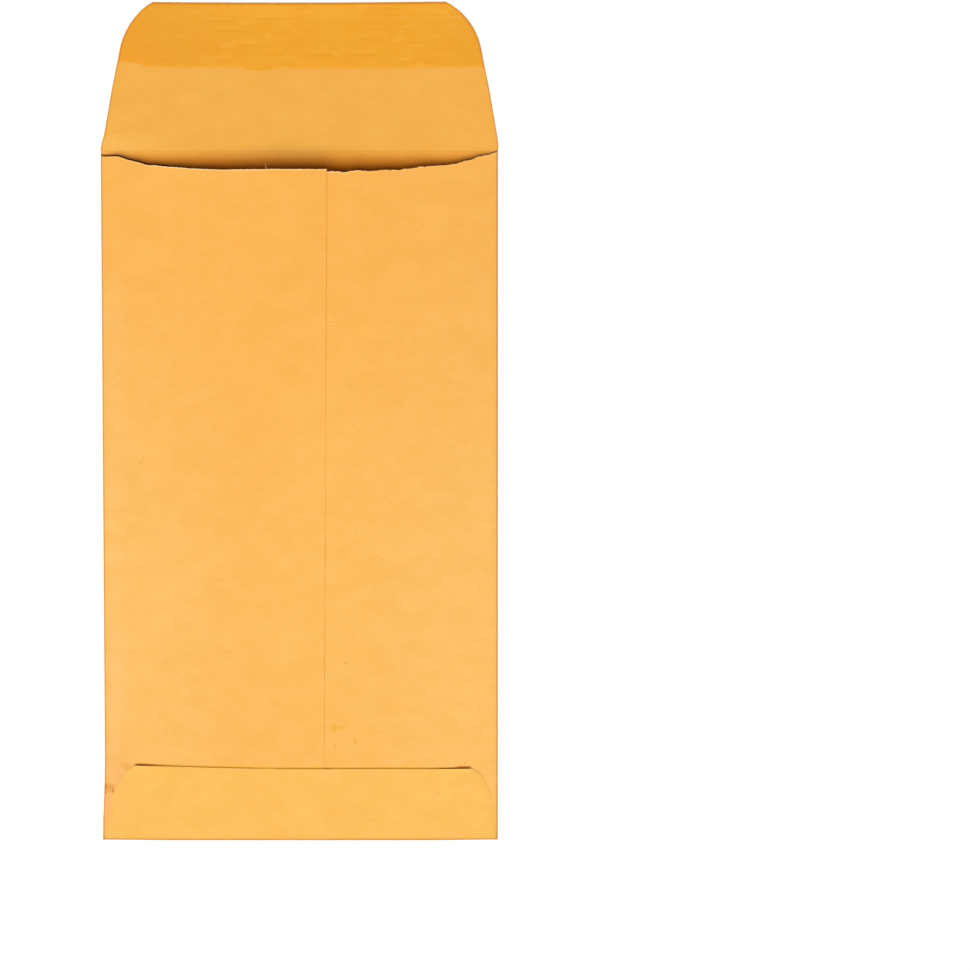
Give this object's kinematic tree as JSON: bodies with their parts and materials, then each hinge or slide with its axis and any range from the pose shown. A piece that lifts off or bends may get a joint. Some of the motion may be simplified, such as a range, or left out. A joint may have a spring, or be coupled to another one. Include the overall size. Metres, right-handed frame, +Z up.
{
  "type": "paper envelope",
  "caption": "Open-end kraft paper envelope lying on its front: lapped seam up the back, glued bottom flap, gaping mouth and a gummed seal flap laid open.",
  "frame": {"origin": "Under the middle of the whole outline, on the surface that the envelope lies on", "axes": "+Y runs from the bottom fold towards the seal flap, +X to the right as the back is looked at with the flap up, +Z up out of the back"},
  "size_m": [0.08, 0.1692, 0.0053],
  "materials": {
    "kraft_paper": "matt golden-brown kraft paper with fine fibres",
    "dried_gum": "thin dried remoistening gum with a slight sheen"
  },
  "bodies": {
    "root": {"envelope_sheet": "kraft_paper", "flap_gum": "dried_gum"}
  },
  "joints": []
}
